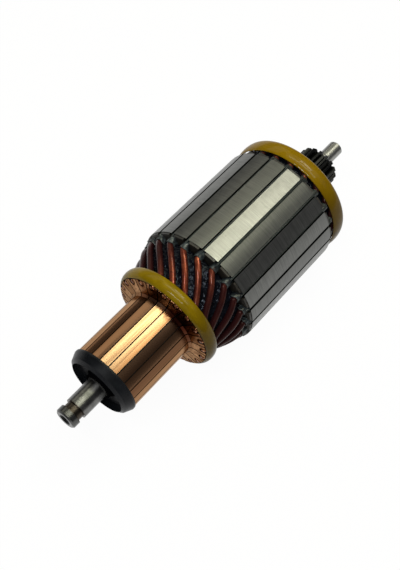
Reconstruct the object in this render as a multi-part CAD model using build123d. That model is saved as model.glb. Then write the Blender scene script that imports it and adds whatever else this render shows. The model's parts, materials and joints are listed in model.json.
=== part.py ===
from build123d import *

import os
from math import acos, asin, cos, degrees, pi, radians, sin, sqrt, tan

# Armature of a gear-reduction starter motor: a shaft with its commutator, laminated core,
# hairpin winding, two resin bands and an integral sun pinion.
# Millimetres. The shaft lies along X, +X points from the commutator to the pinion, +Z is up.
# The origin is on the shaft's axis, in the middle of the commutator-end bearing journal.
# Angles turn about +X and start at +Z, where slot 1 and commutator bar 1 lie.

# Lengths along the shaft, in the order in which they follow each other
collar_length = 3.7
groove_width = 3.3
journal_length = 13.9
hub_nose_length = 4.8
bar_length = 37.6
winding_front_length = 27.3
core_length = 61.6
winding_rear_length = 18.4
pinion_length = 18.8
stub_length = 15.3

# Shaft
journal_radius = 5.5
groove_radius = 4.55
hub_seat_radius = 6.0
core_seat_radius = 7.5
stub_radius = 4.0
shaft_chamfer = 0.7
core_seat_overhang = 12.0
centre_hole_radius = 3.2
centre_hole_depth = 2.6

# Sun pinion, cut into the shaft
pinion_teeth = 16
pinion_module = 1.25
pressure_angle = 20.0
addendum = 1.0
dedendum = 1.25
pinion_chamfer = 1.1
pinion_phase = -4.3

# Laminated core
slot_count = 22
core_radius = 33.0
tooth_tip_depth = 1.5
slot_opening = 1.5
slot_shoulder = 0.9

# Insulation
disc_thickness = 1.2
disc_step = 0.3
liner_thickness = 0.25
liner_overhang = 3.6
liner_neck_width = 0.6
liner_neck_sink = 0.2

# Winding of eight-sided wire, measured across its flats
wire_width = 3.15
wire_sides = 8
wire_clearance = 0.05
layer_gap = 0.6
front_twist_slots = 2
coil_span_slots = 3
front_run_steps = 3
front_bend_length = 16.6
bend_lead = 0.9
end_recess = 0.9
rear_run_length = 7.8
rear_drop = 1.0
nose_length = 1.1
nose_share = 0.16

# Commutator bars
bar_radius = 17.8
bar_gap = 0.6
riser_radius = 26.3
riser_thickness = 3.0
riser_lean = 1.1
riser_corner = 0.9
riser_front_wall = 1.3
bar_web_radius = 16.0
foot_radius = 13.2
foot_inset = 3.6
foot_flare = 1.0

# Moulded commutator hub
hub_undercut = 0.5
hub_lip_height = 0.5
hub_lip_length = 0.9
hub_rim_height = 1.1
hub_rim_proud = 0.9
hub_rim_bevel = 1.3
hub_recess_depth = 2.2
hub_rim_inner_radius = 14.9
hub_sleeve_radius = 7.0
hub_rear_length = 1.6

# Resin bands
band_clearance = 0.1
front_band_width = 6.6
front_band_thickness = 2.0
front_band_shape = (0.1, 0.82, 1.0, 0.9, 0.57)
front_band_flare = 0.45
front_band_setback = 0.2
rear_band_width = 8.2
rear_band_thickness = 1.3
rear_band_shape = (0.15, 0.85, 1.0, 0.87, 0.23)
rear_band_gap = 4.9

# Stations along X
journal_x = -journal_length / 2
groove_x = journal_x - groove_width
shaft_x = groove_x - collar_length
hub_face_x = journal_x + journal_length
copper_x = hub_face_x + hub_nose_length
riser_x = copper_x + bar_length
riser_back_x = riser_x + riser_lean + riser_thickness
core_x = riser_x + winding_front_length
core_end_x = core_x + core_length
pinion_x = core_end_x + winding_rear_length
stub_x = pinion_x + pinion_length
front_rise_x = core_x - liner_overhang - bend_lead
front_bend_x = front_rise_x - front_bend_length
rear_bend_x = core_end_x + liner_overhang + bend_lead
shaft_end_x = stub_x + stub_length

# Radii and widths that follow from the values above
slot_pitch = 360 / slot_count
wire_half = wire_width / 2
wire_corner = wire_half / cos(pi / wire_sides)
wire_flat = wire_half * tan(pi / wire_sides)
wire_reach = wire_half + wire_clearance
layer_pitch = wire_width + layer_gap
slot_inner_width = wire_width + 2 * wire_clearance
slot_width = slot_inner_width + 2 * liner_thickness
slot_top_radius = core_radius - tooth_tip_depth
outer_wire_radius = slot_top_radius - liner_thickness - wire_reach
inner_wire_radius = outer_wire_radius - layer_pitch
slot_bottom_radius = inner_wire_radius - wire_reach - liner_thickness
outer_end_radius = riser_radius - wire_reach
inner_end_radius = outer_end_radius - layer_pitch
front_drop = outer_wire_radius - outer_end_radius
front_band_inner_radius = riser_radius + band_clearance
rear_band_inner_radius = outer_wire_radius + wire_half + band_clearance
pinion_pitch_radius = pinion_module * pinion_teeth / 2
pinion_tip_radius = pinion_pitch_radius + addendum * pinion_module
pinion_root_radius = pinion_pitch_radius - dedendum * pinion_module


def turned(points, arc=360.0):
    """A body turned about the shaft's axis from (station, radius) corners, centred on +Z."""
    outline = make_face(Polyline(*[(x, 0, r) for x, r in points], close=True))
    return revolve(Rot(X=-arc / 2) * outline, Axis.X, arc)


def around(shape, index):
    """The shape, which lies on +Z, turned to slot or bar number index."""
    return Rot(X=index * slot_pitch) * shape


def plate(section, start, length):
    """A section drawn in the YZ plane, extruded along +X from the station start."""
    return extrude(Plane.YZ.offset(start) * section, length)


def involute(angle):
    """The involute function of a pressure angle in radians."""
    return sin(angle) / cos(angle) - angle


def pinion_section():
    """The pinion's outline, with involute flanks and straight roots below the base circle."""
    base_radius = pinion_pitch_radius * cos(radians(pressure_angle))
    half_at_pitch = pi / 2 / pinion_teeth
    flank_radii = (base_radius, (base_radius + pinion_tip_radius) / 2, pinion_tip_radius)

    def spot(radius, angle):
        return (-radius * sin(angle), radius * cos(angle))

    def half_angle(radius):
        flank = acos(min(1.0, base_radius / radius))
        return half_at_pitch + involute(radians(pressure_angle)) - involute(flank)

    halves = [half_angle(radius) for radius in flank_radii]
    root_half = halves[0]
    edges = []
    for tooth in range(pinion_teeth):
        middle = 2 * pi * tooth / pinion_teeth
        after = middle + 2 * pi / pinion_teeth
        rising = [spot(r, middle - a) for r, a in zip(flank_radii, halves)]
        falling = [spot(r, middle + a) for r, a in zip(flank_radii, halves)][::-1]
        edges.append(Line(spot(pinion_root_radius, middle - root_half), rising[0]))
        edges.append(ThreePointArc(*rising))
        edges.append(ThreePointArc(rising[-1], spot(pinion_tip_radius, middle), falling[0]))
        edges.append(ThreePointArc(*falling))
        edges.append(Line(falling[-1], spot(pinion_root_radius, middle + root_half)))
        edges.append(ThreePointArc(
            spot(pinion_root_radius, middle + root_half),
            spot(pinion_root_radius, (middle + after) / 2),
            spot(pinion_root_radius, after - root_half),
        ))
    return make_face(Wire(edges))


def sun_pinion():
    """The toothed length of the shaft, bevelled at its free end."""
    teeth = Rot(X=pinion_phase) * plate(pinion_section(), pinion_x, pinion_length)
    envelope = turned([
        (pinion_x, 0),
        (pinion_x, pinion_tip_radius),
        (stub_x - pinion_chamfer, pinion_tip_radius),
        (stub_x, pinion_tip_radius - pinion_chamfer),
        (stub_x, 0),
    ])
    return teeth & envelope


def armature_shaft():
    """One steel shaft: end collar, circlip groove, journal, seats, sun pinion and stub."""
    core_seat_x = core_x - core_seat_overhang
    pin = turned([
        (shaft_x + centre_hole_depth, 0),
        (shaft_x, centre_hole_radius),
        (shaft_x, journal_radius - shaft_chamfer),
        (shaft_x + shaft_chamfer, journal_radius),
        (groove_x, journal_radius),
        (groove_x, groove_radius),
        (journal_x, groove_radius),
        (journal_x, journal_radius),
        (hub_face_x, journal_radius),
        (hub_face_x, hub_seat_radius),
        (core_seat_x, hub_seat_radius),
        (core_seat_x, core_seat_radius),
        (pinion_x, core_seat_radius),
        (stub_x, core_seat_radius),
        (stub_x, stub_radius),
        (shaft_end_x - shaft_chamfer, stub_radius),
        (shaft_end_x, stub_radius - shaft_chamfer),
        (shaft_end_x, 0),
    ])
    return pin + sun_pinion()


def mirrored(half_outline):
    """A face whose outline is the given half and its mirror image across the middle plane."""
    other_half = [(-y, z) for y, z in reversed(half_outline)]
    return make_face(Polyline(*half_outline, *other_half, close=True))


def core_slot():
    """One half-closed slot, with a narrow mouth and sloping shoulders."""
    return mirrored([
        (slot_opening / 2, core_radius + 1),
        (slot_opening / 2, slot_top_radius),
        (slot_width / 2, slot_top_radius - slot_shoulder),
        (slot_width / 2, slot_bottom_radius),
    ])


def lamination_stack():
    """The core: a stack of slotted steel sheets, pressed on the shaft."""
    sheet = Circle(core_radius) - Circle(core_seat_radius)
    sheet -= [Rot(Z=slot * slot_pitch) * core_slot() for slot in range(slot_count)]
    return plate(sheet, core_x, core_length)


def end_disc(start):
    """A fibre disc against one end of the core, with an open notch at each slot."""
    radius = core_radius - disc_step
    notch_half = slot_width / 2
    notch_half_angle = degrees(asin(notch_half / radius))
    rim = []
    for slot in range(slot_count):
        for side in (-1, 1):
            turn = radians(slot * slot_pitch + side * notch_half_angle)
            out = (-radius * sin(turn), radius * cos(turn))
            turn = radians(slot * slot_pitch)
            across = side * notch_half
            floor = (
                -slot_bottom_radius * sin(turn) - across * cos(turn),
                slot_bottom_radius * cos(turn) - across * sin(turn),
            )
            rim += [out, floor] if side < 0 else [floor, out]
    disc = make_face(Polyline(*rim, close=True)) - Circle(core_seat_radius)
    return plate(disc, start, disc_thickness)


def slot_liner():
    """A paper sleeve round both wires of a slot, with its folded edges up in the slot's mouth."""
    shoulder = slot_top_radius - slot_shoulder
    outside = [
        (slot_width / 2, slot_bottom_radius),
        (slot_width / 2, shoulder),
        (slot_opening / 2, slot_top_radius),
        (liner_neck_width / 2, slot_top_radius),
        (liner_neck_width / 2, core_radius - liner_neck_sink),
    ]
    inside = [
        (slot_inner_width / 2, slot_bottom_radius + liner_thickness),
        (slot_inner_width / 2, shoulder - liner_thickness),
        (wire_flat + wire_clearance, slot_top_radius - liner_thickness),
    ]
    length = core_length + 2 * liner_overhang
    return plate(mirrored(outside) - mirrored(inside), core_x - liner_overhang, length)


def slot_liners():
    """All slot liners, as separate solids."""
    liner = slot_liner()
    return Compound(children=[around(liner, slot) for slot in range(slot_count)])


def commutator_hub():
    """The black moulding round the bars, which also stands as a thin rib in the gaps between them."""
    rim_radius = bar_radius - hub_rim_height
    lip_radius = bar_radius + hub_lip_height
    rib_radius = bar_radius - hub_undercut
    recess_x = hub_face_x + hub_recess_depth
    rim_x = hub_face_x - hub_rim_proud
    rear_x = riser_back_x + hub_rear_length
    body = turned([
        (hub_face_x, hub_seat_radius),
        (hub_face_x, hub_sleeve_radius),
        (recess_x, hub_sleeve_radius),
        (recess_x, hub_rim_inner_radius),
        (rim_x, hub_rim_inner_radius),
        (rim_x + hub_rim_bevel, rim_radius),
        (copper_x - hub_lip_length, lip_radius),
        (copper_x, lip_radius),
        (copper_x, rib_radius),
        (riser_back_x, rib_radius),
        (riser_back_x, bar_web_radius),
        (rear_x, bar_web_radius),
        (rear_x, hub_seat_radius),
    ])
    blank = bar_blank()
    return body - [around(blank, bar) for bar in range(slot_count)]


def bar_blank():
    """A bar before it is notched: turned outside, with a flat dovetail foot and tapered sides."""
    foot_x = copper_x + foot_inset
    foot_end_x = riser_x - foot_inset
    lean_per_mm = riser_lean / (riser_radius - bar_radius)
    outside = turned([
        (copper_x, 0),
        (copper_x, bar_radius),
        (riser_x - riser_corner, bar_radius),
        (riser_x + riser_corner * lean_per_mm, bar_radius + riser_corner),
        (riser_x + riser_lean, riser_radius),
        (riser_back_x, riser_radius),
        (riser_back_x, 0),
    ], slot_pitch)
    side_view = make_face(Polyline(
        (copper_x, 0, riser_radius),
        (copper_x, 0, bar_web_radius),
        (foot_x, 0, bar_web_radius),
        (foot_x - foot_flare, 0, foot_radius),
        (foot_end_x + foot_flare, 0, foot_radius),
        (foot_end_x, 0, bar_web_radius),
        (riser_back_x, 0, bar_web_radius),
        (riser_back_x, 0, riser_radius),
        close=True,
    ))
    half_pitch = radians(slot_pitch / 2)
    inset = bar_gap / 2 / sin(half_pitch)
    reach = 2 * riser_radius
    wedge = make_face(Polyline(
        (0, inset),
        (reach * sin(half_pitch), inset + reach * cos(half_pitch)),
        (-reach * sin(half_pitch), inset + reach * cos(half_pitch)),
        close=True,
    ))
    sides = plate(wedge, copper_x, riser_back_x - copper_x)
    return outside & extrude(side_view, riser_radius, both=True) & sides


def commutator_bar():
    """A copper bar, with notches in its riser for the ends of two wires."""
    pocket_x = riser_x + riser_front_wall
    return bar_blank() - wire_notch(outer_end_radius, riser_x) - wire_notch(inner_end_radius, pocket_x)


def wire_notch(wire_radius, start):
    """The cut for a wire: open at the rim of the riser, with a floor that fits the wire."""
    section = mirrored([
        (slot_inner_width / 2, riser_radius + 1),
        (slot_inner_width / 2, wire_radius - wire_flat - wire_clearance),
        (wire_flat + wire_clearance, wire_radius - wire_reach),
    ])
    return plate(section, start, riser_back_x - start)


def wire_point(x, radius, turn):
    """A corner of a wire's route, at a station, a radius and an angle from +Z."""
    angle = radians(turn)
    return Vector(x, -radius * sin(angle), radius * cos(angle))


def front_run(wire_radius, end_x, twist, turn=0.0):
    """The route of one leg from its riser to its slot: axial first, then twisted as it rises."""
    route = [wire_point(end_x, wire_radius - front_drop, turn + twist)]
    for step in range(front_run_steps, -1, -1):
        share = step / front_run_steps
        sink = front_drop * (1 - cos(pi * share)) / 2
        x = front_rise_x - front_bend_length * share
        route.append(wire_point(x, wire_radius - sink, turn + twist * share))
    return route


def rear_turn(span):
    """The route of the end turn, from the outer layer round the nose to the inner layer."""
    middle_x = rear_bend_x + rear_run_length / 2
    nose_x = rear_bend_x + rear_run_length
    edge = (1 - nose_share) / 2
    outer_nose = outer_wire_radius - rear_drop
    inner_nose = inner_wire_radius - rear_drop
    return [
        wire_point(rear_bend_x, outer_wire_radius, 0),
        wire_point(middle_x, outer_wire_radius - rear_drop / 3, span * edge / 2),
        wire_point(nose_x, outer_nose, span * edge),
        wire_point(nose_x + nose_length, (outer_nose + inner_nose) / 2, span / 2),
        wire_point(nose_x, inner_nose, span * (1 - edge)),
        wire_point(middle_x, inner_wire_radius - rear_drop / 3, span * (1 - edge / 2)),
        wire_point(rear_bend_x, inner_wire_radius, span),
    ]


def wire_section(route, index):
    """The corners of the wire's section at one corner of the route, mitred between two runs."""
    centre = route[index]
    before = route[max(index - 1, 0)]
    after = route[min(index + 1, len(route) - 1)]
    arriving = (centre - before).normalized() if index > 0 else (after - centre).normalized()
    leaving = (after - centre).normalized() if index < len(route) - 1 else arriving
    along = (arriving + leaving).normalized()
    outward = Vector(0, centre.Y, centre.Z)
    upright = (outward - along * outward.dot(along)).normalized()
    aside = along.cross(upright)
    bend = (leaving - arriving).normalized() if index not in (0, len(route) - 1) else upright
    stretch = 1 / sqrt((1 + arriving.dot(leaving)) / 2)
    corners = []
    for corner in range(wire_sides):
        angle = 2 * pi * (corner + 0.5) / wire_sides
        arm = (upright * cos(angle) + aside * sin(angle)) * wire_corner
        corners.append(centre + arm + bend * ((stretch - 1) * arm.dot(bend)))
    return corners


def skinned(sections):
    """A solid skinned over its sections with flat triangles, closed by its first and last section."""
    sides = len(sections[0])
    faces = [Face(Wire.make_polygon(sections[0])), Face(Wire.make_polygon(sections[-1]))]
    for near, far in zip(sections, sections[1:]):
        for corner in range(sides):
            following = (corner + 1) % sides
            faces.append(Face(Wire.make_polygon([near[corner], near[following], far[corner]])))
            faces.append(Face(Wire.make_polygon([near[following], far[following], far[corner]])))
    return Solid(Shell(faces))


def hairpin():
    """One hairpin of enamelled wire, from a riser through two slots to another riser."""
    twist = front_twist_slots * slot_pitch
    span = -coil_span_slots * slot_pitch
    outer_leg = front_run(outer_wire_radius, riser_x + riser_lean + end_recess, twist)
    inner_end_x = riser_x + riser_front_wall + wire_clearance
    inner_leg = front_run(inner_wire_radius, inner_end_x, -twist, span)
    route = outer_leg + rear_turn(span) + inner_leg[::-1]
    return skinned([wire_section(route, index) for index in range(len(route))])


def crowned_band(start, width, inner_radius, thickness, shape):
    """A ring whose thickness follows the shares in shape, at even steps across its width."""
    steps = len(shape) - 1
    crown = [
        (start + width * step / steps, inner_radius + thickness * share)
        for step, share in enumerate(shape)
    ]
    return turned([(start, inner_radius), *crown, (start + width, inner_radius)])


def front_band():
    """The resin band over the rims of the risers, flared inside where the wires start to rise."""
    start = riser_x + riser_lean + front_band_setback
    end = start + front_band_width
    ring = crowned_band(
        start, front_band_width, front_band_inner_radius, front_band_thickness, front_band_shape
    )
    flare = turned([
        (front_bend_x - front_band_flare, 0),
        (front_bend_x - front_band_flare, front_band_inner_radius),
        (end, front_band_inner_radius + front_band_flare),
        (end, 0),
    ])
    return ring - flare


def rear_band():
    """The resin band over the end turns beside the pinion."""
    start = core_end_x + rear_band_gap
    return crowned_band(
        start, rear_band_width, rear_band_inner_radius, rear_band_thickness, rear_band_shape
    )


os.makedirs("parts", exist_ok=True)

export_step(armature_shaft(), "parts/armature_shaft.step")
export_step(lamination_stack(), "parts/lamination_stack.step")
export_step(end_disc(core_x - disc_thickness), "parts/end_disc_commutator_side.step")
export_step(end_disc(core_end_x), "parts/end_disc_pinion_side.step")
export_step(slot_liners(), "parts/slot_liners.step")
export_step(commutator_hub(), "parts/commutator_hub.step")
export_step(front_band(), "parts/resin_band_commutator_side.step")
export_step(rear_band(), "parts/resin_band_pinion_side.step")

copper_bar = commutator_bar()
wire_hairpin = hairpin()
for number in range(slot_count):
    export_step(around(copper_bar, number), f"parts/commutator_bar_{number + 1:02d}.step")
    export_step(around(wire_hairpin, number), f"parts/hairpin_{number + 1:02d}.step")
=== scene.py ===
import json
import math
import random

import bmesh
import bpy
from mathutils import Matrix, Vector, noise

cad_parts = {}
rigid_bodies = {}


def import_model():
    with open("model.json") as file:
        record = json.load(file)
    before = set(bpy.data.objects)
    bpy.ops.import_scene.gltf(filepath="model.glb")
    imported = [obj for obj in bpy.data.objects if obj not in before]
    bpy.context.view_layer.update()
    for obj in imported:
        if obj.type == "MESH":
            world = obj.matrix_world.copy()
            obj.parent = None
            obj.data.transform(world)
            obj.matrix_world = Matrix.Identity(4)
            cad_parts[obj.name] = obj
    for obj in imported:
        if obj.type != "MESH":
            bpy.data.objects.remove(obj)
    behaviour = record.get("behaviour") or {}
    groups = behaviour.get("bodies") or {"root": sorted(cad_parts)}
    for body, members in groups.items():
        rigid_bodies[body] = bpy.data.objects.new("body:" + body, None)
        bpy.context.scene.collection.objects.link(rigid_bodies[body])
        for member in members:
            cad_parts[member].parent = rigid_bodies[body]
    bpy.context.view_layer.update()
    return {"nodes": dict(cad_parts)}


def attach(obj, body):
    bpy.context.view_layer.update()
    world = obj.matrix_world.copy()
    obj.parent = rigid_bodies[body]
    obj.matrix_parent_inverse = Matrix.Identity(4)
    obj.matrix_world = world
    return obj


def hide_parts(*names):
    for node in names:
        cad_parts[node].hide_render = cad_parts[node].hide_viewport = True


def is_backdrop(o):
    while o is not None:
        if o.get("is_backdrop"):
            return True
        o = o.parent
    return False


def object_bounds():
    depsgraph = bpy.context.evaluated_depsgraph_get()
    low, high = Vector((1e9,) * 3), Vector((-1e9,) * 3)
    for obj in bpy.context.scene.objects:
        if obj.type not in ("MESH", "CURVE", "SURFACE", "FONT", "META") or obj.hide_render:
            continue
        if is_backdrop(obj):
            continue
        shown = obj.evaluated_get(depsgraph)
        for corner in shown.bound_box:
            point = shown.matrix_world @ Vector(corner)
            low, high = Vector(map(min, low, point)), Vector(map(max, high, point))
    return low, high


# Looks of a starter motor's armature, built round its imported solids.
# +X runs from the commutator to the pinion and +Z is up. Angles turn about +X and start at +Z, where
# the first slot lies. Lengths are in metres and angles in radians, but names that end in MM are in
# millimetres and names that end in TURN count slots.

MM = 0.001
SLOTS = 22
PITCH = math.radians(360 / SLOTS)

# Core
CORE_X = 76.65 * MM
CORE_END_X = 138.25 * MM
CORE_RADIUS_MM = 33.0
DISC_THICKNESS = 1.2 * MM

# Shaft: the stations, and one radius, between which its tone changes, painted shade in the hub's seat
# and in the centre hole among them
COLLAR_MM = (-10.8, -10.2)
GROOVE_START_MM = (-10.9, -10.3)
GROOVE_END_MM = (-7.0, -6.5)
HUB_SEAT_START_MM = (6.1, 6.8)
HUB_SEAT_END_MM = (30.0, 32.0)
BLACKENED_START_MM = (137.0, 139.0)
BLACKENED_END_MM = (175.2, 175.6)
STUB_MM = (175.4, 175.8)
CENTRE_HOLE_RADIUS_MM = (3.0, 3.3)

# Commutator, with the middles of its painted highlight, its burnt patch and its painted dark reflection
BAR_RADIUS_MM = 17.8
RISER_FACE_X_MM = 49.35
RISER_SOOT_RADIUS_MM = (18.5, 25.0)
# The corner between the bars and the risers, darkened as painted shade
CORNER_SHADE_X_MM = (47.6, 48.5)
CORNER_SHADE_RADIUS_MM = (18.8, 20.5)
BURNT_X_MM = (45.0, 47.5)
HIGHLIGHT_TURN = 0.25
BURNT_TURN = 2.0
DARK_REFLECTION_TURN = 3.1

# Hub: where its recess, darkened as painted shade, and its sleeve change their looks
RECESS_RADIUS_MM = (8.0, 14.5)
SLEEVE_RADIUS_MM = (7.3, 8.2)

# Winding
# The turn round which the wires are painted bright as lit; further round they are painted dark as
# painted shade
LIT_WIRE_TURN = 0.1
WIRE_SIDES = 16
WIRE_RADIUS = 1.575 * MM
OUTER_RADIUS = 29.625 * MM
INNER_RADIUS = 25.875 * MM
FRONT_DROP = 4.95 * MM
FRONT_RISE_X = 73.6 * MM
FRONT_BEND_X = 55.55 * MM
REAR_BEND_X = 142.75 * MM
OUTER_END_X = 51.35 * MM
INNER_END_X = 50.7 * MM
TWIST = 2 * PITCH
SPAN = -3 * PITCH
REAR_RUN = 7.8 * MM
REAR_DROP = 1.0 * MM
REAR_SWAY = 0.12
NOSE_LENGTH = 1.3 * MM
NOSE_SHARE = 0.16
LEAD_STEPS = 4
FRONT_STEPS = 26
REAR_STEPS = 14
NOSE_STEPS = 10

# Slot liners, with the ripple's pace in radians a metre
LINER_OVERHANG = 3.7 * MM
SLOT_HALF_WIDTH = 1.8 * MM
SLOT_MOUTH_HALF = 0.5 * MM
SLOT_TOP = 31.4 * MM
SLOT_SHOULDER = 30.5 * MM
SLOT_FLOOR = 24.12 * MM
LINER_TOP = 32.35 * MM
LINER_THICKNESS = 0.22 * MM
LINER_BULGE = 0.35 * MM
LINER_RIPPLE = 0.35 * MM
LINER_RIPPLE_PACE = 2200
LINER_MOUTH_RADIUS_MM = (31.9, 32.4)
LINER_SCATTER_MM = 0.3
LINER_TILT_MM = 0.2
CUFF_STEPS = 8

# Resin bands: start, width, inner radius and heights over it at even steps
BAND_SIDES = 360
BAND_WAVES = 6
BAND_WAVE_MM = 0.12
# The turn where the bands are lit and olive; away from it they darken to brown as painted shade
LIT_BAND_TURN = -1.0
AMBER_X_MM = (90.0, 140.0)
FRONT_BAND = (
    50.65 * MM,
    6.6 * MM,
    26.4 * MM,
    (0.10, 0.85, 1.32, 1.62, 1.82, 1.94, 1.99, 2.0, 1.96, 1.86, 1.72, 1.5, 1.15),
)
REAR_BAND = (
    143.15 * MM,
    8.2 * MM,
    31.3 * MM,
    (0.15, 0.62, 0.9, 1.08, 1.2, 1.27, 1.3, 1.3, 1.26, 1.18, 1.02, 0.78, 0.3),
)

# Varnish
FRONT_VARNISH_SAG = 1.55 * MM
FRONT_VARNISH_DEPTH = 3.2 * MM
FRONT_VARNISH_BEADS = 0.35 * MM
FRONT_VARNISH_START = 0.02
FRONT_VARNISH_RUN = 1.05
FRONT_VARNISH_STEPS = 40
FRONT_VARNISH_ACROSS = 10
REAR_VARNISH_X = CORE_END_X + DISC_THICKNESS + 0.05 * MM
REAR_VARNISH_WIDTH = 10.2 * MM
REAR_VARNISH_RADIUS = 29.5 * MM
REAR_VARNISH_FLOOR = 27.9 * MM
REAR_VARNISH_BEADS = 0.5 * MM
REAR_VARNISH_SIDES = 264
REAR_VARNISH_STEPS = 8

# Fused joints in the risers' notches
JOINT_X = 51.25 * MM
JOINT_RADIUS_MM = 24.65
JOINT_SCATTER_MM = 0.15
JOINT_HALF_MM = (1.25, 1.62, 1.6)
JOINT_RINGS = 8
JOINT_SIDES = 14

# Stage
FLOOR_HALF = 6.0
FLOOR_GLOW = 0.96
LAMP_TARGET = Vector((0.09, 0, 0))
CAMERA_PLACE = (-92.31 * MM, -112.79 * MM, 360.43 * MM)
CAMERA_DEGREES = (29.243, -3.716, -49.862)
CAMERA_LENS_MM = 54.5
CAMERA_SENSOR_MM = 36.0


def clear_defaults():
    """Removes the objects of the start-up scene."""
    for thing in list(bpy.data.objects):
        bpy.data.objects.remove(thing)


# Materials


class Graph:
    """Makes a material's nodes and links with short calls. Each material calls its graph g."""

    def __init__(self, name):
        self.material = bpy.data.materials.new(name)
        self.material.use_nodes = True
        self.tree = self.material.node_tree
        self.shader = self.tree.nodes["Principled BSDF"]

    def node(self, kind, **settings):
        made = self.tree.nodes.new(kind)
        for key, value in settings.items():
            setattr(made, key, value)
        return made

    def feed(self, node, place, value):
        socket = node.inputs[place]
        if isinstance(value, bpy.types.NodeSocket):
            self.tree.links.new(value, socket)
        elif socket.type == "RGBA":
            socket.default_value = (*value, 1.0)
        else:
            socket.default_value = value

    def set(self, place, value):
        self.feed(self.shader, place, value)

    def math(self, operation, first, second=0.0):
        made = self.node("ShaderNodeMath", operation=operation)
        self.feed(made, 0, first)
        self.feed(made, 1, second)
        return made.outputs[0]

    def add(self, *values):
        total = values[0]
        for value in values[1:]:
            total = self.math("ADD", total, value)
        return total

    def times(self, first, second):
        return self.math("MULTIPLY", first, second)

    def place(self):
        return self.node("ShaderNodeTexCoord").outputs["Object"]

    def parts(self):
        split = self.node("ShaderNodeSeparateXYZ")
        self.feed(split, 0, self.place())
        return split.outputs

    def noise(self, scale, detail=4.0, roughness=0.5, stretch=(1.0, 1.0, 1.0), distortion=0.0):
        """Noise over the object's own coordinates, stretched by a factor on each axis."""
        scaled = self.node("ShaderNodeVectorMath", operation="MULTIPLY")
        self.feed(scaled, 0, self.place())
        self.feed(scaled, 1, stretch)
        made = self.node("ShaderNodeTexNoise")
        self.feed(made, "Vector", scaled.outputs[0])
        self.feed(made, "Scale", scale)
        self.feed(made, "Detail", detail)
        self.feed(made, "Roughness", roughness)
        self.feed(made, "Distortion", distortion)
        return made.outputs["Fac"]

    def ramp(self, factor, stops):
        made = self.node("ShaderNodeValToRGB")
        self.feed(made, "Fac", factor)
        elements = made.color_ramp.elements
        while len(elements) < len(stops):
            elements.new(0.5)
        for element, (at, colour) in zip(elements, stops):
            element.position = at
            element.color = (*colour, 1.0)
        return made.outputs["Color"]

    def spread(self, value, low, high, out_low, out_high):
        """A value carried from one range to another and held within it."""
        made = self.node("ShaderNodeMapRange")
        for name, setting in (
            ("Value", value),
            ("From Min", low),
            ("From Max", high),
            ("To Min", out_low),
            ("To Max", out_high),
        ):
            self.feed(made, name, setting)
        return made.outputs["Result"]

    def mix(self, factor, first, second):
        made = self.node("ShaderNodeMix", data_type="RGBA")
        self.feed(made, 0, factor)
        self.feed(made, 6, first)
        self.feed(made, 7, second)
        return made.outputs[2]

    def bump(self, height, strength, distance):
        made = self.node("ShaderNodeBump")
        self.feed(made, "Height", height)
        self.feed(made, "Strength", strength)
        self.feed(made, "Distance", distance)
        return made

    def radius(self):
        """The distance from the shaft's axis, in millimetres."""
        parts = self.parts()
        squares = self.add(self.times(parts[1], parts[1]), self.times(parts[2], parts[2]))
        return self.times(self.math("SQRT", squares), 1000.0)

    def station(self):
        """The place along the shaft, in millimetres."""
        return self.times(self.parts()[0], 1000.0)

    def turn(self):
        """The angle about the shaft, in slot pitches from the first slot."""
        parts = self.parts()
        angle = self.math("ARCTAN2", self.times(parts[1], -1.0), parts[2])
        return self.math("DIVIDE", angle, PITCH)

    def turns_from(self, turn):
        """How far the surface lies from a turn on either side, in slot pitches."""
        return self.math("ABSOLUTE", self.math("SUBTRACT", self.turn(), turn))

    def window(self, value, rise, fall):
        """A number that rises from 0 to 1 over one range of a value and falls back over another."""
        return self.times(self.spread(value, *rise, 0.0, 1.0), self.spread(value, *fall, 1.0, 0.0))

    def sector(self, shift):
        """A number from 0 to 1 for each pitch, and the offset from that pitch's middle in pitches."""
        turn = self.math("ADD", self.turn(), shift)
        index = self.math("FLOOR", turn)
        offset = self.math("SUBTRACT", self.math("SUBTRACT", turn, index), 0.5)
        dice = self.node("ShaderNodeTexWhiteNoise", noise_dimensions="1D")
        self.feed(dice, "W", self.math("FLOORED_MODULO", index, float(SLOTS)))
        return dice.outputs["Value"], offset

    def crown(self, offset, radius_mm, share, fine, strength, distance):
        """Fine marks on top of a face that is a share flatter than its cylinder."""
        drop = 0.5 * radius_mm * MM * share * PITCH * PITCH
        height = self.times(self.times(offset, offset), drop)
        flat = self.bump(height, 1.0, 1.0)
        marks = self.bump(fine, strength, distance)
        self.feed(marks, "Normal", flat.outputs["Normal"])
        self.set("Normal", marks.outputs["Normal"])

    def outward(self):
        """How squarely the surface faces away from the shaft's axis, from -1 to 1."""
        flat = self.node("ShaderNodeVectorMath", operation="MULTIPLY")
        self.feed(flat, 0, self.place())
        self.feed(flat, 1, (0.0, 1.0, 1.0))
        ray = self.node("ShaderNodeVectorMath", operation="NORMALIZE")
        self.feed(ray, 0, flat.outputs[0])
        dot = self.node("ShaderNodeVectorMath", operation="DOT_PRODUCT")
        self.feed(dot, 0, ray.outputs[0])
        self.feed(dot, 1, self.node("ShaderNodeTexCoord").outputs["Normal"])
        return dot.outputs["Value"]

    def turned(self, amount):
        """Draws highlights out along the shaft, as marks of turning do."""
        tangent = self.node("ShaderNodeTangent", direction_type="RADIAL", axis="X")
        self.set("Tangent", tangent.outputs["Tangent"])
        self.set("Anisotropic", amount)
        self.set("Anisotropic Rotation", 0.25)

    def finish(self, height, strength, distance):
        self.set("Normal", self.bump(height, strength, distance).outputs["Normal"])
        return self.material


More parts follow.
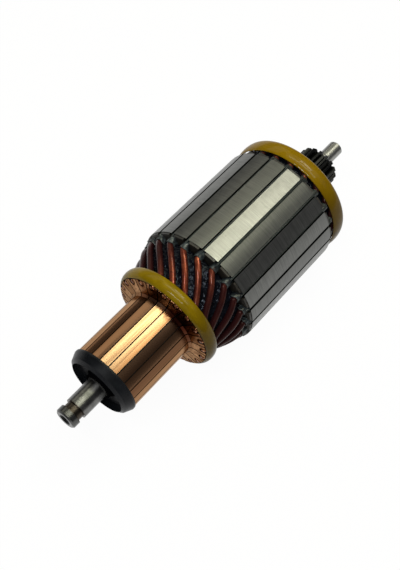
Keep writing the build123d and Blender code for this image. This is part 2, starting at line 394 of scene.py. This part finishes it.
def copper():
    """Turned copper bars of uneven tone, with turning lines, smears, dark filmy streaks and sooty
    risers, a painted highlight, a painted dark reflection and painted shade in the corner by the risers.
    """
    g = Graph("turned_copper")
    lines = g.noise(1.0, detail=3.0, stretch=(7000.0, 50.0, 50.0))
    ripples = g.noise(1.0, detail=2.0, stretch=(900.0, 60.0, 60.0))
    smears = g.noise(150.0, detail=4.0, stretch=(0.06, 1.0, 1.0))
    streaks = g.noise(1.0, detail=4.0, roughness=0.6, stretch=(12.0, 700.0, 700.0))
    tone, offset = g.sector(0.5)
    base = g.ramp(
        g.add(g.times(smears, 0.6), g.times(tone, 0.4)),
        (
            (0.25, (0.20, 0.096, 0.048)),
            (0.5, (0.32, 0.175, 0.095)),
            (0.75, (0.45, 0.255, 0.140)),
        ),
    )
    # Painted dark reflection on the bars round this turn, joined with the real dark streaks
    dark_reflection_side = g.spread(g.turns_from(DARK_REFLECTION_TURN), 0.8, 1.7, 0.65, 0.0)
    film_and_reflection = g.math("MAXIMUM", g.spread(streaks, 0.50, 0.70, 0.0, 0.7), dark_reflection_side)
    # Painted highlight: paler, yellower copper on the bars round the highlight's turn
    highlight_side = g.spread(g.turns_from(HIGHLIGHT_TURN), 0.55, 1.0, 0.36, 0.0)
    painted_highlight = g.mix(highlight_side, base, (0.60, 0.41, 0.25))
    # The copper with its dark streaks and the painted dark reflection
    worn = g.mix(film_and_reflection, painted_highlight, (0.088, 0.038, 0.018))
    lined = g.mix(g.spread(lines, 0.4, 0.68, 0.0, 0.15), worn, (0.20, 0.09, 0.042))
    blots = g.noise(330.0, detail=5.0, distortion=1.2)
    face = g.spread(g.station(), RISER_FACE_X_MM - 3.0, RISER_FACE_X_MM + 0.4, 0.0, 1.0)
    rim = g.spread(g.radius(), *RISER_SOOT_RADIUS_MM, 0.35, 0.95)
    soot_and_shade = g.times(g.times(face, rim), g.spread(blots, 0.42, 0.58, 0.15, 1.0))
    burnt_side = g.spread(g.turns_from(BURNT_TURN), 0.9, 2.5, 1.0, 0.0)
    burn = g.times(burnt_side, g.spread(g.station(), *BURNT_X_MM, 0.0, 1.0))
    # Painted shade in the corner between the bars and the risers, deeper on the burnt side
    corner = g.times(
        g.spread(g.station(), *CORNER_SHADE_X_MM, 0.0, 1.0),
        g.spread(g.radius(), *CORNER_SHADE_RADIUS_MM, 1.0, 0.0),
    )
    soot_and_shade = g.math("MAXIMUM", soot_and_shade, g.times(corner, g.add(g.times(burnt_side, 0.4), 0.6)))
    soot_and_shade = g.math("MAXIMUM", soot_and_shade, g.times(burn, g.spread(blots, 0.38, 0.56, 0.35, 1.0)))
    # Sooty risers, the burnt patch and the painted corner shade
    g.set("Base Color", g.mix(soot_and_shade, lined, (0.060, 0.014, 0.007)))
    g.set("Metallic", 1.0)
    g.set("Roughness", g.spread(g.add(streaks, smears), 0.7, 1.3, 0.165, 0.205))
    g.turned(0.6)
    g.set("Specular Tint", (0.80, 0.68, 0.56))
    g.crown(offset, BAR_RADIUS_MM, 0.3, ripples, 0.02, 0.00008)
    return g.material


def core_steel():
    """The core's turned rim: edges of thin sheets under a thin varnish, with faint stains, and
    near-black below the rim as painted shade in the slots.
    """
    g = Graph("lamination_steel")
    sheets = g.noise(1.0, detail=2.0, roughness=0.7, stretch=(4600.0, 60.0, 60.0))
    marks = g.noise(1.0, detail=4.0, stretch=(1200.0, 220.0, 220.0))
    stains = g.noise(55.0, detail=6.0, distortion=0.8)
    tone, offset = g.sector(0.0)
    base = g.ramp(
        g.add(g.times(sheets, 0.8), g.times(tone, 0.2)),
        (
            (0.3, (0.098, 0.100, 0.094)),
            (0.5, (0.140, 0.142, 0.134)),
            (0.72, (0.205, 0.207, 0.194)),
        ),
    )
    stained = g.mix(g.spread(stains, 0.55, 0.75, 0.0, 0.35), base, (0.10, 0.102, 0.09))
    # Painted shade: near-black below the rim, in the slots
    depth = g.spread(g.radius(), CORE_RADIUS_MM - 0.8, CORE_RADIUS_MM - 0.15, 0.0, 1.0)
    g.set("Base Color", g.mix(depth, (0.012, 0.014, 0.012), stained))
    g.set("Metallic", 1.0)
    g.set("Roughness", g.spread(g.add(sheets, marks), 0.7, 1.3, 0.28, 0.40))
    g.turned(0.5)
    fine = g.add(sheets, g.times(marks, 0.5))
    g.crown(offset, CORE_RADIUS_MM, 0.5, fine, 0.3, 0.00004)
    return g.material


def shaft_steel():
    """The turned shaft: dark and oily, brown in its groove, matt and near-black as painted shade where
    it sits in the hub, with painted shade in its centre hole, and black at its pinion.
    """
    g = Graph("shaft_steel")
    turning = g.noise(1.0, detail=3.0, stretch=(6000.0, 120.0, 120.0))
    ripples = g.noise(1.0, detail=2.0, stretch=(1100.0, 150.0, 150.0))
    cloud = g.noise(240.0, detail=5.0, distortion=0.5)
    base = g.ramp(
        cloud,
        (
            (0.3, (0.105, 0.106, 0.101)),
            (0.55, (0.165, 0.165, 0.158)),
            (0.8, (0.235, 0.234, 0.222)),
        ),
    )
    lined = g.mix(g.spread(turning, 0.4, 0.7, 0.0, 0.2), base, (0.05, 0.048, 0.045))
    station = g.station()
    groove = g.window(station, GROOVE_START_MM, GROOVE_END_MM)
    collar = g.mix(g.spread(station, *COLLAR_MM, 0.5, 0.0), lined, (0.04, 0.04, 0.038))
    oiled = g.mix(g.times(groove, 0.85), collar, (0.040, 0.028, 0.017))
    pinion = g.window(station, BLACKENED_START_MM, BLACKENED_END_MM)
    # Where the shaft sits in the hub: near-black as painted shade, and not metallic
    hub_seat = g.window(station, HUB_SEAT_START_MM, HUB_SEAT_END_MM)
    stub = g.spread(station, *STUB_MM, 0.0, 0.6)
    worn = g.mix(stub, oiled, (0.36, 0.36, 0.34))
    near_end = g.spread(station, -1.0, 0.0, 1.0, 0.0)
    # Painted shade in the centre hole at the shaft's end
    hole = g.times(g.spread(g.radius(), *CENTRE_HOLE_RADIUS_MM, 0.95, 0.0), near_end)
    dark = g.mix(g.math("MAXIMUM", hole, hub_seat), worn, (0.006, 0.006, 0.006))
    g.set("Base Color", g.mix(g.times(pinion, 0.93), dark, (0.011, 0.0115, 0.012)))
    clean = g.math("SUBTRACT", 1.0, hub_seat)
    g.set("Metallic", clean)
    g.set("Specular IOR Level", g.times(clean, 0.5))
    g.set("Roughness", g.add(g.spread(cloud, 0.3, 0.7, 0.30, 0.34), g.times(pinion, 0.1)))
    g.turned(0.6)
    return g.finish(ripples, 0.04, 0.00006)


def black_moulding():
    """Black phenolic moulding with a fine grain and a faint bloom, dull in its recess and darkened there
    as painted shade.
    """
    g = Graph("black_moulding")
    grain = g.noise(2600.0, detail=3.0)
    bloom = g.noise(160.0, detail=4.0)
    tone = g.ramp(bloom, ((0.3, (0.0025, 0.003, 0.004)), (0.7, (0.008, 0.009, 0.011))))
    # Painted shade: the moulding darkens into its recess
    recess = g.spread(g.radius(), *RECESS_RADIUS_MM, 0.0, 1.0)
    g.set("Base Color", g.mix(recess, (0.002, 0.002, 0.0025), tone))
    dull = g.spread(g.radius(), *SLEEVE_RADIUS_MM, 0.5, 0.0)
    g.set("Roughness", g.add(g.spread(g.add(grain, bloom), 0.7, 1.3, 0.26, 0.40), dull))
    g.set("Specular IOR Level", g.times(recess, 0.115))
    return g.finish(grain, 0.2, 0.00003)


def enamel(name, stops, coat):
    """Enamelled wire, bright and clean on its outward side near the first slots and dark elsewhere:
    painted light and shade, with the dark on its flanks also standing for varnish.
    """
    g = Graph(name)
    cloud = g.noise(300.0, detail=5.0, distortion=0.8)
    fine = g.noise(1500.0, detail=3.0)
    # Painted light and shade: bright where the wire faces outward, dark on its flanks, where the dark is
    # also varnish
    outward = g.spread(g.add(g.outward(), g.times(cloud, 0.3)), 0.5, 1.1, 0.0, 1.0)
    # Painted shade: the bright side fades to dark on wires further round from the lit turn
    away = g.add(g.turns_from(LIT_WIRE_TURN), g.times(cloud, 0.5))
    outward = g.times(outward, g.spread(away, 0.5, 2.4, 1.0, 0.05))
    g.set("Base Color", g.mix(outward, (0.016, 0.004, 0.0045), g.ramp(cloud, stops)))
    g.set("Metallic", g.times(outward, 0.6))
    g.set("Roughness", g.spread(fine, 0.3, 0.7, 0.20, 0.32))
    g.set("Specular Tint", (0.75, 0.42, 0.32))
    g.set("Specular IOR Level", 0.12)
    g.set("Coat Weight", g.times(g.add(outward, 0.15), coat))
    g.set("Coat Roughness", 0.05)
    return g.finish(cloud, 0.3, 0.00007)


def band_resin():
    """Glossy, cloudy resin over glass tape: olive in front and amber behind, darkened to brown on the
    far side as painted shade.
    """
    g = Graph("band_resin")
    cloud = g.noise(120.0, detail=5.0, distortion=0.5)
    tape = g.noise(1.0, detail=3.0, stretch=(3200.0, 160.0, 160.0))
    olive = g.ramp(
        cloud,
        (
            (0.25, (0.135, 0.086, 0.0003)),
            (0.5, (0.170, 0.110, 0.0005)),
            (0.75, (0.210, 0.140, 0.0012)),
        ),
    )
    amber = g.mix(g.spread(g.station(), *AMBER_X_MM, 0.0, 0.6), olive, (0.190, 0.102, 0.0004))
    # Painted shade: the band darkens to brown away from its lit turn
    band_shade_side = g.spread(g.turns_from(LIT_BAND_TURN), 2.2, 4.6, 0.0, 0.8)
    band_shaded = g.mix(band_shade_side, amber, (0.050, 0.029, 0.0003))
    g.set("Base Color", g.mix(g.spread(tape, 0.45, 0.7, 0.0, 0.25), band_shaded, (0.12, 0.070, 0.0004)))
    g.set("Roughness", g.spread(cloud, 0.3, 0.7, 0.30, 0.40))
    g.set("Specular IOR Level", 0.02)
    g.set("Coat Weight", 0.37)
    g.set("Coat IOR", 1.35)
    g.set("Coat Roughness", 0.02)
    return g.finish(g.add(cloud, g.times(tape, 0.04)), 0.07, 0.0002)


def liner_paper():
    """Insulating paper steeped in varnish: grey-green with dark blots and a paler cut edge, darkened
    inside the slots and on the rear cuffs as painted shade.
    """
    g = Graph("liner_paper")
    fibre = g.noise(1.0, detail=4.0, stretch=(500.0, 1800.0, 1800.0))
    blot = g.noise(420.0, detail=5.0, distortion=0.9)
    tone = g.ramp(
        blot,
        (
            (0.40, (0.005, 0.0065, 0.008)),
            (0.56, (0.020, 0.026, 0.028)),
            (0.74, (0.075, 0.092, 0.094)),
        ),
    )
    station = g.station()
    front_edge = (CORE_X - LINER_OVERHANG) / MM
    rear_edge = (CORE_END_X + LINER_OVERHANG) / MM
    cut = g.add(
        g.spread(station, front_edge + 0.3, front_edge + 1.0, 0.13, 0.0),
        g.spread(station, rear_edge - 1.1, rear_edge - 0.3, 0.0, 0.1),
    )
    mouth = g.spread(g.radius(), *LINER_MOUTH_RADIUS_MM, 0.0, 0.3)
    core_start = CORE_X / MM
    core_end = CORE_END_X / MM
    inside = g.window(station, (core_start - 0.2, core_start + 0.6), (core_end - 0.6, core_end + 0.2))
    pale = g.mix(g.add(cut, g.times(mouth, inside)), tone, (0.16, 0.20, 0.19))
    # Painted shade inside the slots and on the rear cuffs
    slot_and_rear_shade = g.add(g.times(inside, 0.7), g.spread(station, core_end, core_end + 0.5, 0.0, 0.95))
    g.set("Base Color", g.mix(slot_and_rear_shade, pale, (0.013, 0.017, 0.015)))
    g.set("Roughness", g.spread(fibre, 0.3, 0.7, 0.30, 0.5))
    g.set("Specular IOR Level", 0.25)
    g.set("Coat Weight", 0.15)
    g.set("Coat Roughness", 0.1)
    return g.finish(g.add(fibre, blot), 0.3, 0.00006)


def fibre_disc():
    """Dark brown pressed fibre with a flecked surface."""
    g = Graph("fibre_disc")
    fleck = g.noise(1400.0, detail=5.0)
    cloud = g.noise(150.0, detail=4.0)
    g.set(
        "Base Color",
        g.ramp(
            g.times(g.add(fleck, cloud), 0.5),
            (
                (0.35, (0.004, 0.0035, 0.0025)),
                (0.5, (0.012, 0.010, 0.007)),
                (0.7, (0.040, 0.032, 0.020)),
            ),
        ),
    )
    g.set("Roughness", g.spread(fleck, 0.3, 0.7, 0.40, 0.60))
    return g.finish(fleck, 0.4, 0.00006)


def varnish():
    """Blue-black impregnating varnish, set in glossy runs."""
    g = Graph("varnish")
    cloud = g.noise(380.0, detail=3.0)
    drops = g.noise(700.0, detail=2.0)
    tone = g.ramp(cloud, ((0.3, (0.0010, 0.0010, 0.0016)), (0.7, (0.004, 0.0045, 0.008))))
    g.set("Base Color", tone)
    g.set("Roughness", g.spread(cloud, 0.3, 0.7, 0.05, 0.12))
    g.set("Specular IOR Level", 0.12)
    g.set("Specular Tint", (0.75, 0.85, 1.0))
    return g.finish(g.add(cloud, g.times(drops, 0.5)), 0.9, 0.0007)


def fused_copper():
    """Copper burnt and fused at the wires' ends, dark red-brown with bright spots."""
    g = Graph("fused_copper")
    burnt = g.noise(900.0, detail=5.0, distortion=1.0)
    tone = g.ramp(
        burnt,
        (
            (0.35, (0.05, 0.013, 0.007)),
            (0.55, (0.20, 0.075, 0.03)),
            (0.7, (0.5, 0.24, 0.11)),
        ),
    )
    g.set("Base Color", tone)
    g.set("Metallic", 1.0)
    g.set("Roughness", g.spread(burnt, 0.3, 0.7, 0.4, 0.22))
    return g.finish(burnt, 0.6, 0.0001)


# Mesh helpers


def place(x, radius, turn):
    """A point at a station, a radius and an angle from +Z."""
    return Vector((x, -radius * math.sin(turn), radius * math.cos(turn)))


def add_mesh(name, points, faces, materials, picks=None, smooth=True):
    """An object from points and faces, with its normals turned outward."""
    mesh = bpy.data.meshes.new(name)
    mesh.from_pydata([tuple(point) for point in points], [], faces)
    for material in materials:
        mesh.materials.append(material)
    if picks:
        mesh.polygons.foreach_set("material_index", picks)
    build = bmesh.new()
    build.from_mesh(mesh)
    bmesh.ops.recalc_face_normals(build, faces=build.faces)
    build.to_mesh(mesh)
    build.free()
    for face in mesh.polygons:
        face.use_smooth = smooth
    made = bpy.data.objects.new(name, mesh)
    bpy.context.scene.collection.objects.link(made)
    return made


def skin(rings, closed_ring=True, closed_ends=True, closed_loop=False):
    """Points and faces of a skin over rings with the same number of points."""
    count = len(rings[0])
    points = [point for ring in rings for point in ring]
    faces = []
    last = len(rings) if closed_loop else len(rings) - 1
    sides = count if closed_ring else count - 1
    for ring in range(last):
        here = ring * count
        there = ((ring + 1) % len(rings)) * count
        for side in range(sides):
            after = (side + 1) % count
            faces.append((here + side, here + after, there + after, there + side))
    if closed_ends and not closed_loop:
        faces.append(tuple(range(count)))
        faces.append(tuple(reversed(range((len(rings) - 1) * count, len(rings) * count))))
    return points, faces


def join(points, faces, more_points, more_faces):
    """Appends one skin to another."""
    start = len(points)
    points.extend(more_points)
    faces.extend(tuple(index + start for index in face) for face in more_faces)


def tube(path, radius, sides):
    """Rings round a path, turned as little as possible from one to the next."""
    rings = []
    angles = [2 * math.pi * side / sides for side in range(sides)]
    normal = Vector((0, 0, 1))
    for index, centre in enumerate(path):
        before = path[max(index - 1, 0)]
        after = path[min(index + 1, len(path) - 1)]
        along = (after - before).normalized()
        normal = (normal - along * normal.dot(along)).normalized()
        other = along.cross(normal)
        rays = [normal * math.cos(angle) + other * math.sin(angle) for angle in angles]
        rings.append([centre + ray * radius for ray in rays])
    return rings


# Winding


def eased(share, ends=0.07):
    """A run from 0 to 1 that starts and stops gently over the given end shares."""
    slope = 1 / (1 - ends)
    if share < ends:
        return slope * share * share / (2 * ends)
    if share > 1 - ends:
        return 1 - slope * (1 - share) ** 2 / (2 * ends)
    return slope * (share - ends / 2)


def front_spot(radius, share, twist, turn):
    """A leg's centre at a share of its way from the riser's back to the core."""
    sink = FRONT_DROP * (1 + math.cos(math.pi * share)) / 2
    x = FRONT_BEND_X + (FRONT_RISE_X - FRONT_BEND_X) * share
    return place(x, radius - sink, turn + twist * (1 - eased(share)))


def front_path(radius, end_x, twist, turn):
    """A leg's route from its riser to the core."""
    points = [
        place(end_x + (FRONT_BEND_X - end_x) * step / LEAD_STEPS, radius - FRONT_DROP, turn + twist)
        for step in range(LEAD_STEPS)
    ]
    shares = [step / FRONT_STEPS for step in range(FRONT_STEPS + 1)]
    return points + [front_spot(radius, share, twist, turn) for share in shares]


def rear_path():
    """The end turn's route, from the outer layer round the nose to the inner layer."""
    edge = (1 - NOSE_SHARE) / 2
    outer = []
    inner = []
    for step in range(REAR_STEPS + 1):
        share = step / REAR_STEPS
        turn = SPAN * edge * (share - REAR_SWAY * math.sin(math.pi * share) * (1 - share))
        drop = REAR_DROP * share
        x = REAR_BEND_X + REAR_RUN * share
        outer.append(place(x, OUTER_RADIUS - drop, turn))
        inner.append(place(x, INNER_RADIUS - drop, SPAN - turn))
    nose = []
    middle = (OUTER_RADIUS + INNER_RADIUS) / 2 - REAR_DROP
    half = (OUTER_RADIUS - INNER_RADIUS) / 2
    for step in range(1, NOSE_STEPS):
        share = step / NOSE_STEPS
        nose.append(
            place(
                REAR_BEND_X + REAR_RUN + NOSE_LENGTH * math.sin(math.pi * share),
                middle + half * math.cos(math.pi * share),
                SPAN * (edge + NOSE_SHARE * share),
            )
        )
    return outer + nose + inner[::-1]


def hairpins():
    """Smooth round wires in place of the eight-sided ones, each with a darker, varnished inner leg whose
    dark is also painted shade under the outer layer.
    """
    bright = enamel(
        "wire_enamel",
        ((0.3, (0.065, 0.011, 0.007)), (0.5, (0.165, 0.034, 0.016)), (0.7, (0.26, 0.068, 0.029))),
        0.2,
    )
    # A darker copy of the enamel for the inner leg: painted shade under the outer layer, and varnish
    dull = enamel(
        "varnished_wire_painted_shade",
        ((0.3, (0.010, 0.004, 0.003)), (0.5, (0.030, 0.009, 0.006)), (0.7, (0.070, 0.020, 0.012))),
        0.3,
    )
    first = front_path(OUTER_RADIUS, OUTER_END_X, TWIST, 0)
    last = front_path(INNER_RADIUS, INNER_END_X, -TWIST, SPAN)[::-1]
    rings = tube(first + rear_path() + last, WIRE_RADIUS, WIRE_SIDES)
    for number in range(SLOTS):
        turn = Matrix.Rotation(number * PITCH, 3, "X")
        points, faces = skin([[turn @ point for point in ring] for ring in rings])
        picks = [0 if face < len(first) * WIRE_SIDES else 1 for face in range(len(faces))]
        wire = add_mesh(f"wire_{number + 1:02d}", points, faces, (bright, dull), picks)
        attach(wire, "root")
        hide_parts(f"hairpin_{number + 1:02d}")


# Slot liners


def cuff_share(x):
    """How far a station lies out on a liner's cuff, from 0 at the core to 1 at the cuff's end."""
    return min(max(CORE_X - x, x - CORE_END_X, 0.0) / LINER_OVERHANG, 1.0)


def liner_outline(x):
    """The liner's folded section at a station, as (sideways, radius) from one edge to the other."""
    out = cuff_share(x)
    bulge = LINER_BULGE * math.sin(math.pi * min(out, 0.8))
    top = LINER_TOP - (LINER_TOP - SLOT_TOP) * max(0.0, out * 1.45 - 0.4)
    half = SLOT_HALF_WIDTH + bulge * 0.6
    arch = SLOT_TOP + bulge * 0.5
    right = [
        (0.10 * MM, top),
        (0.25 * MM, top - 0.25 * (top - arch)),
        (SLOT_MOUTH_HALF * 0.8, top - 0.6 * (top - arch)),
        (SLOT_MOUTH_HALF * (1 + out * 0.3), arch),
        (0.55 * half, arch - 0.12 * MM),
        (0.85 * half, SLOT_SHOULDER + 0.28 * MM),
        (half, SLOT_SHOULDER - 0.35 * MM),
        (half, 28.4 * MM),
        (half * 0.98, 26.8 * MM),
        (half, 25.3 * MM),
        (0.8 * half, SLOT_FLOOR + 0.12 * MM),
        (0.35 * half, SLOT_FLOOR),
    ]
    return right + [(-y, radius) for y, radius in reversed(right)]


def slot_liners(chance):
    """Folded paper liners whose ends stand out of the core and close over the wires."""
    points = []
    faces = []
    for number in range(SLOTS):
        turn = Matrix.Rotation(number * PITCH, 3, "X")
        ends = (
            CORE_X - LINER_OVERHANG + chance.uniform(-LINER_SCATTER_MM, LINER_SCATTER_MM) * MM,
            CORE_END_X + LINER_OVERHANG + chance.uniform(-LINER_SCATTER_MM, LINER_SCATTER_MM) * MM,
        )
        cuff = [LINER_OVERHANG * step / CUFF_STEPS for step in range(CUFF_STEPS)]
        stations = [ends[0] + length for length in cuff]
        stations += [CORE_X + 0.2 * MM, (CORE_X + CORE_END_X) / 2, CORE_END_X - 0.2 * MM]
        stations += [ends[1] - length for length in reversed(cuff)]
        tilt = chance.uniform(-LINER_TILT_MM, LINER_TILT_MM) * MM
        phase = chance.uniform(0, 6)
        rings = []
        for x in stations:
            out = cuff_share(x)
            ring = []
            for y, radius in liner_outline(x):
                ripple = LINER_RIPPLE * out * math.sin(radius * LINER_RIPPLE_PACE + phase)
                ring.append(turn @ Vector((x + ripple, y + tilt * out, radius)))
            rings.append(ring)
        join(points, faces, *skin(rings, closed_ring=False, closed_ends=False))
    liners = add_mesh("slot_liner_sheets", points, faces, (liner_paper(),))
    solid = liners.modifiers.new("thickness", "SOLIDIFY")
    solid.thickness = LINER_THICKNESS
    solid.offset = 0
    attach(liners, "root")
    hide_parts("slot_liners")


# Bands


def band(name, shape, node, material, chance):
    """A resin band: a smooth crowned ring, a little uneven round its edges."""
    start, width, inner, heights = shape
    last = len(heights) - 1
    waves = [(chance.uniform(0, 2 * math.pi), chance.uniform(0.4, 1.0)) for _ in range(BAND_WAVES)]
    rings = []
    for side in range(BAND_SIDES):
        turn = 2 * math.pi * side / BAND_SIDES
        wave = 0
        for order, (phase, size) in enumerate(waves):
            wave += size * math.sin((order + 2) * turn + phase)
        wave /= BAND_WAVES
        ring = [place(start, inner, turn)]
        for step, height in enumerate(heights):
            x = start + width * step / last
            shift = BAND_WAVE_MM * MM * wave * math.sin(math.pi * step / last)
            ring.append(place(x + shift, inner + height * MM * (0.98 - 0.02 * wave), turn))
        ring.append(place(start + width, inner, turn))
        rings.append(ring)
    made = add_mesh(name, *skin(rings, closed_loop=True), (material,))
    smooth = made.modifiers.new("smooth", "SUBSURF")
    smooth.levels = smooth.render_levels = 1
    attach(made, "root")
    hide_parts(node)


# Varnish


def rough(point, scale, size):
    """A smooth bump for a point, the same on every run."""
    return noise.fractal(point * scale, 0.6, 2.0, 3) * size


def front_varnish(material):
    """Varnish set in the valleys between the outer wires, sagging between them and beaded."""
    points = []
    faces = []
    half = PITCH / 2
    for number in range(SLOTS):
        turn = (number + 0.5) * PITCH
        rings = []
        for step in range(FRONT_VARNISH_STEPS + 1):
            share = FRONT_VARNISH_START + FRONT_VARNISH_RUN * step / FRONT_VARNISH_STEPS
            spot = front_spot(OUTER_RADIUS, min(share, 1.0), TWIST, turn)
            x = FRONT_BEND_X + (FRONT_RISE_X - FRONT_BEND_X) * share
            middle = math.atan2(-spot.y, spot.z)
            radius = math.hypot(spot.y, spot.z)
            ring = []
            for side in range(FRONT_VARNISH_ACROSS + 1):
                aside = 2 * side / FRONT_VARNISH_ACROSS - 1
                sag = FRONT_VARNISH_SAG * math.cos(math.pi * aside / 2) ** 0.6
                here = place(x, radius, middle + aside * half)
                height = radius - sag + rough(here, 900, FRONT_VARNISH_BEADS)
                ring.append(place(x, height, middle + aside * half))
            for aside in (1, 0, -1):
                ring.append(place(x, radius - FRONT_VARNISH_DEPTH, middle + aside * half * 0.98))
            rings.append(ring)
        join(points, faces, *skin(rings))
    runs = add_mesh("varnish_front", points, faces, (material,))
    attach(runs, "root")


def rear_varnish(material):
    """A beaded ring of varnish that fills the end turns between the core and the band."""
    rings = []
    steps = range(REAR_VARNISH_STEPS + 1)
    stations = [REAR_VARNISH_X + REAR_VARNISH_WIDTH * step / REAR_VARNISH_STEPS for step in steps]
    for side in range(REAR_VARNISH_SIDES):
        turn = 2 * math.pi * side / REAR_VARNISH_SIDES
        ring = []
        for x in stations:
            here = place(x, REAR_VARNISH_RADIUS + 0.1 * MM, turn)
            ring.append(place(x, REAR_VARNISH_RADIUS + rough(here, 700, REAR_VARNISH_BEADS), turn))
        for step in (REAR_VARNISH_STEPS, REAR_VARNISH_STEPS // 2, 0):
            ring.append(place(stations[step], REAR_VARNISH_FLOOR, turn))
        rings.append(ring)
    ring = add_mesh("varnish_rear", *skin(rings, closed_loop=True), (material,))
    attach(ring, "root")


def fused_joints(chance):
    """Lumps of fused copper over the wires' ends, sunk in the risers' notches."""
    points = []
    faces = []
    for number in range(SLOTS):
        turn = Matrix.Rotation(number * PITCH, 3, "X")
        radius_mm = JOINT_RADIUS_MM + chance.uniform(-JOINT_SCATTER_MM, JOINT_SCATTER_MM)
        centre = Vector((JOINT_X, 0, radius_mm * MM))
        seed = Vector((number * 3.1, 0, 0))
        rings = []
        for ring in range(1, JOINT_RINGS):
            polar = math.pi * ring / JOINT_RINGS
            around = []
            for side in range(JOINT_SIDES):
                angle = 2 * math.pi * side / JOINT_SIDES
                ray = Vector(
                    (
                        math.cos(polar),
                        math.sin(polar) * math.cos(angle),
                        math.sin(polar) * math.sin(angle),
                    )
                )
                grow = 1 + rough(ray * 1.7 + seed, 1, 0.22)
                offset = Vector([part * half for part, half in zip(ray, JOINT_HALF_MM)]) * grow * MM
                around.append(turn @ (centre + offset))
            rings.append(around)
        join(points, faces, *skin(rings))
    lumps = add_mesh("fused_joints", points, faces, (fused_copper(),))
    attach(lumps, "root")


# Stage


def floor():
    """A pale floor that looks white to the camera and in shiny metal, but for the part's shadow."""
    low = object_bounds()[0].z
    corners = ((-1, -1), (1, -1), (1, 1), (-1, 1))
    points = [(x * FLOOR_HALF, y * FLOOR_HALF, low) for x, y in corners]
    g = Graph("pale_floor")
    speckle = g.noise(900.0, detail=3.0)
    g.set("Base Color", g.ramp(speckle, ((0.3, (0.80, 0.80, 0.80)), (0.7, (0.86, 0.86, 0.86)))))
    g.set("Roughness", 0.8)
    path = g.node("ShaderNodeLightPath").outputs
    seen = g.math("MAXIMUM", path["Is Camera Ray"], path["Is Glossy Ray"])
    seen = g.math("MAXIMUM", seen, path["Is Transmission Ray"])
    glow = g.node("ShaderNodeEmission")
    blend = g.node("ShaderNodeMixShader")
    g.feed(blend, 0, g.times(seen, FLOOR_GLOW))
    g.feed(blend, 1, g.shader.outputs[0])
    g.feed(blend, 2, glow.outputs[0])
    g.feed(g.tree.nodes["Material Output"], "Surface", blend.outputs[0])
    add_mesh("floor", points, [(0, 1, 2, 3)], (g.material,), smooth=False)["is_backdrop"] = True


def lamp(name, spot, wide, deep, radiance, colour=(1.0, 1.0, 1.0)):
    """A soft area lamp at a place, turned to the part's middle, with its wide side level."""
    data = bpy.data.lights.new(name, "AREA")
    data.shape = "RECTANGLE"
    data.size = wide
    data.size_y = deep
    data.energy = radiance * math.pi * wide * deep
    data.color = colour
    made = bpy.data.objects.new(name, data)
    made.location = spot
    made.rotation_euler = (LAMP_TARGET - made.location).to_track_quat("-Z", "Y").to_euler()
    bpy.context.scene.collection.objects.link(made)


def lighting():
    """Bright tubes over the part, which draw thin highlights, and broad dim lamps round it."""
    warm = (1.0, 0.97, 0.80)
    lamp("wide_soft", (0.42, 0.04, 0.84), 1.05, 0.58, 1.15, warm)
    lamp("tube_one", (0.33, 0.0, 0.76), 0.80, 0.10, 7.0, (0.95, 1.0, 0.70))
    lamp("tube_two", (0.54, -0.045, 0.79), 0.36, 0.10, 15.5, warm)
    lamp("tube_three", (-0.24, -0.03, 0.80), 0.5, 0.06, 36.0)
    lamp("back_soft", (-0.55, -0.1, 0.75), 1.0, 0.8, 0.35)
    lamp("left_soft", (0.42, 0.76, 0.54), 0.85, 0.4, 1.05, warm)
    lamp("right_soft", (0.60, -0.56, 0.62), 0.32, 0.3, 0.45)
    world = bpy.data.worlds.new("studio")
    world.use_nodes = True
    tree = world.node_tree
    coords = tree.nodes.new("ShaderNodeTexCoord")
    split = tree.nodes.new("ShaderNodeSeparateXYZ")
    ramp = tree.nodes.new("ShaderNodeValToRGB")
    stops = ((0.02, (0.22, 0.22, 0.225, 1.0)), (0.35, (0.12, 0.12, 0.125, 1.0)))
    for element, (at, colour) in zip(ramp.color_ramp.elements, stops):
        element.position = at
        element.color = colour
    tree.links.new(coords.outputs["Generated"], split.inputs[0])
    tree.links.new(split.outputs[2], ramp.inputs[0])
    tree.links.new(ramp.outputs["Color"], tree.nodes["Background"].inputs["Color"])
    bpy.context.scene.world = world


def camera():
    """The camera at the photograph's place, with its sensor's width along the picture's long side."""
    data = bpy.data.cameras.new("camera")
    data.sensor_width = CAMERA_SENSOR_MM
    data.lens = CAMERA_LENS_MM
    data.clip_start = 0.01
    made = bpy.data.objects.new("camera", data)
    made.location = CAMERA_PLACE
    made.rotation_euler = [math.radians(angle) for angle in CAMERA_DEGREES]
    bpy.context.scene.collection.objects.link(made)
    bpy.context.scene.camera = made


def dress(frame):
    """Gives every CAD node that stays in sight its material."""
    disc = fibre_disc()
    bars = copper()
    finish = {
        "armature_shaft": shaft_steel(),
        "lamination_stack": core_steel(),
        "commutator_hub": black_moulding(),
        "end_disc_commutator_side": disc,
        "end_disc_pinion_side": disc,
    }
    for name, node in frame["nodes"].items():
        material = bars if name.startswith("commutator_bar") else finish.get(name)
        if material:
            node.data.materials.clear()
            node.data.materials.append(material)


def main():
    clear_defaults()
    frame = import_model()
    chance = random.Random(7)
    dress(frame)
    hairpins()
    slot_liners(chance)
    resin = band_resin()
    band("resin_ring_front", FRONT_BAND, "resin_band_commutator_side", resin, chance)
    band("resin_ring_rear", REAR_BAND, "resin_band_pinion_side", resin, chance)
    dark = varnish()
    front_varnish(dark)
    rear_varnish(dark)
    fused_joints(chance)
    camera()
    lighting()
    floor()
    bpy.context.scene.view_settings.view_transform = "Standard"


main()
